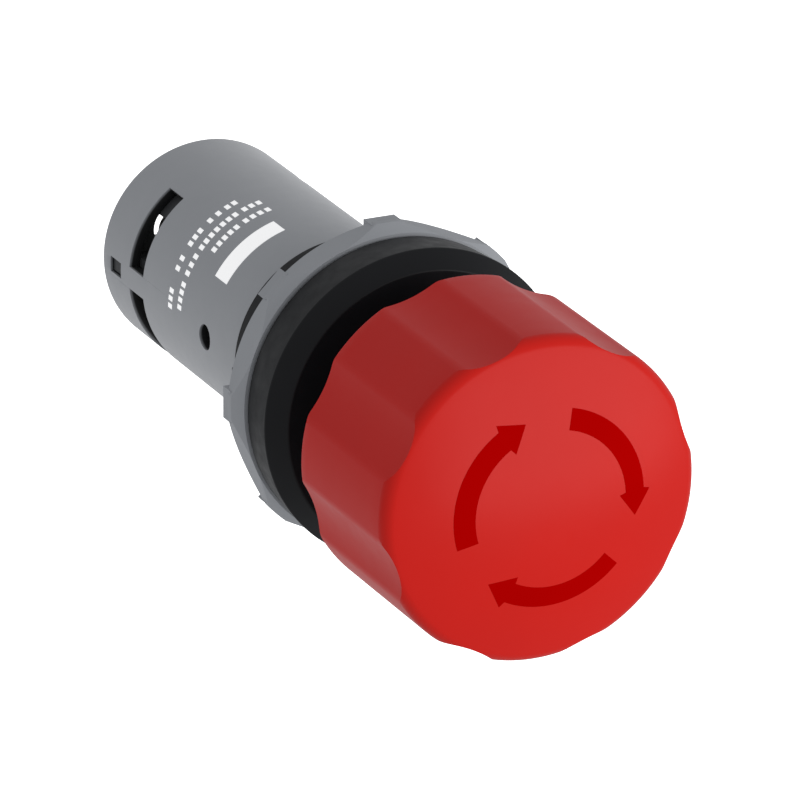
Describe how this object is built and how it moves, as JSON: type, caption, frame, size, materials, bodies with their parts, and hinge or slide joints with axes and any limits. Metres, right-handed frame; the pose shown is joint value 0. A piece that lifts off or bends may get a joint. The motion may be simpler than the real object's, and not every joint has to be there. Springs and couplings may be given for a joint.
{
  "type": "emergency stop button",
  "caption": "Twist-to-release emergency stop button for a round panel hole, with a scalloped mushroom head, fixing nut and a round rear contact block.",
  "frame": {"origin": "centre of the gasket's rear face, which is the panel seat", "axes": "+Z along the button's axis towards the operator; +X through the rear shell's vent hole"},
  "size_m": [0.0306, 0.0306, 0.0743],
  "materials": {
    "red_plastic": "semi-gloss moulded",
    "dark_red_plastic": "printed inlay",
    "black_plastic": "satin moulded",
    "grey_plastic": "satin moulded",
    "dark_grey_plastic": "matte moulded",
    "white_plastic": "natural acetal",
    "black_rubber": "matte",
    "zinc_steel": "zinc plated",
    "bright_steel": "spring steel",
    "contact_brass": "stamped",
    "silver_alloy": "silver alloy"
  },
  "bodies": {
    "housing": {"collar_sleeve": "black_plastic", "panel_gasket": "black_rubber", "stem_seal": "black_rubber", "latch_spring": "bright_steel", "latch_retainer": "black_plastic", "carrier_spring": "bright_steel", "fixed_contact_tips": "silver_alloy", "contact_housing": "dark_grey_plastic", "terminal_base": "dark_grey_plastic", "rear_shell": "grey_plastic", "return_spring": "bright_steel", "fixed_contact_1": "contact_brass", "fixed_contact_2": "contact_brass", "fixed_contact_3": "contact_brass", "fixed_contact_4": "contact_brass"},
    "carrier": {"contact_carrier": "black_plastic", "contact_spring_1": "bright_steel", "contact_spring_2": "bright_steel"},
    "head": {"mushroom_head": "red_plastic", "release_arrows": "dark_red_plastic", "actuator_stem": "white_plastic", "head_cross_pin": "bright_steel", "stem_clip": "bright_steel"},
    "latch": {"latch_ring": "white_plastic"},
    "washer": {"clamp_washer": "zinc_steel"},
    "nut": {"fixing_nut": "grey_plastic"},
    "bridge_1": {"contact_bridge_1": "contact_brass", "bridge_tips_1": "silver_alloy"},
    "bridge_2": {"contact_bridge_2": "contact_brass", "bridge_tips_2": "silver_alloy"},
    "clamp_1": {"clamp_plate_1": "zinc_steel"},
    "screw_1": {"terminal_screw_1": "zinc_steel"},
    "clamp_2": {"clamp_plate_2": "zinc_steel"},
    "screw_2": {"terminal_screw_2": "zinc_steel"},
    "clamp_3": {"clamp_plate_3": "zinc_steel"},
    "screw_3": {"terminal_screw_3": "zinc_steel"},
    "clamp_4": {"clamp_plate_4": "zinc_steel"},
    "screw_4": {"terminal_screw_4": "zinc_steel"}
  },
  "joints": [
    {"name": "head_press", "type": "slide", "parent": "housing", "child": "carrier", "axis": [0, 0, -1], "range_m": [0, 0.0045], "stiffness_N_per_m": 1200, "springref_m": -0.003, "deforming": ["return_spring", "carrier_spring"]},
    {"name": "head_twist", "type": "hinge", "parent": "carrier", "child": "head", "pos_m": [0, 0, 0], "axis": [0, 0, -1], "range_deg": [0, 30], "stiffness_Nm_per_rad": 0.06},
    {"name": "latch_turn", "type": "hinge", "parent": "housing", "child": "latch", "pos_m": [0, 0, -0.005], "axis": [0, 0, 1], "range_deg": [0, 20], "stiffness_Nm_per_rad": 0.01},
    {"name": "nut_travel", "type": "slide", "parent": "housing", "child": "washer", "axis": [0, 0, -1], "range_m": [0, 0.005]},
    {"name": "nut_turn", "type": "hinge", "parent": "washer", "child": "nut", "pos_m": [0, 0, -0.003], "axis": [0, 0, -1], "range_deg": [0, 1200]},
    {"name": "bridge_slide_1", "type": "slide", "parent": "housing", "child": "bridge_1", "axis": [0, 0, -1], "range_m": [0, 0.0035], "deforming": ["contact_spring_1"]},
    {"name": "bridge_slide_2", "type": "slide", "parent": "housing", "child": "bridge_2", "axis": [0, 0, -1], "range_m": [0, 0.0035], "deforming": ["contact_spring_2"]},
    {"name": "clamp_travel_1", "type": "slide", "parent": "housing", "child": "clamp_1", "axis": [0, 0, -1], "range_m": [0, 0.0012]},
    {"name": "screw_turn_1", "type": "hinge", "parent": "clamp_1", "child": "screw_1", "pos_m": [0.0047, 0.0037, -0.036], "axis": [0, 0, -1], "range_deg": [0, 960]},
    {"name": "clamp_travel_2", "type": "slide", "parent": "housing", "child": "clamp_2", "axis": [0, 0, -1], "range_m": [0, 0.0012]},
    {"name": "screw_turn_2", "type": "hinge", "parent": "clamp_2", "child": "screw_2", "pos_m": [-0.0047, 0.0037, -0.036], "axis": [0, 0, -1], "range_deg": [0, 960]},
    {"name": "clamp_travel_3", "type": "slide", "parent": "housing", "child": "clamp_3", "axis": [0, 0, -1], "range_m": [0, 0.0012]},
    {"name": "screw_turn_3", "type": "hinge", "parent": "clamp_3", "child": "screw_3", "pos_m": [-0.0047, -0.0037, -0.036], "axis": [0, 0, -1], "range_deg": [0, 960]},
    {"name": "clamp_travel_4", "type": "slide", "parent": "housing", "child": "clamp_4", "axis": [0, 0, -1], "range_m": [0, 0.0012]},
    {"name": "screw_turn_4", "type": "hinge", "parent": "clamp_4", "child": "screw_4", "pos_m": [0.0047, -0.0037, -0.036], "axis": [0, 0, -1], "range_deg": [0, 960]}
  ],
  "couplings": [
    {"joint": "nut_turn", "follows": "nut_travel", "rad_per_m": 4188.8},
    {"joint": "bridge_slide_1", "follows": "head_press", "ratio": 0.77778},
    {"joint": "bridge_slide_2", "follows": "head_press", "ratio": 0.77778},
    {"joint": "screw_turn_1", "follows": "clamp_travel_1", "rad_per_m": 13963},
    {"joint": "screw_turn_2", "follows": "clamp_travel_2", "rad_per_m": 13963},
    {"joint": "screw_turn_3", "follows": "clamp_travel_3", "rad_per_m": 13963},
    {"joint": "screw_turn_4", "follows": "clamp_travel_4", "rad_per_m": 13963}
  ]
}
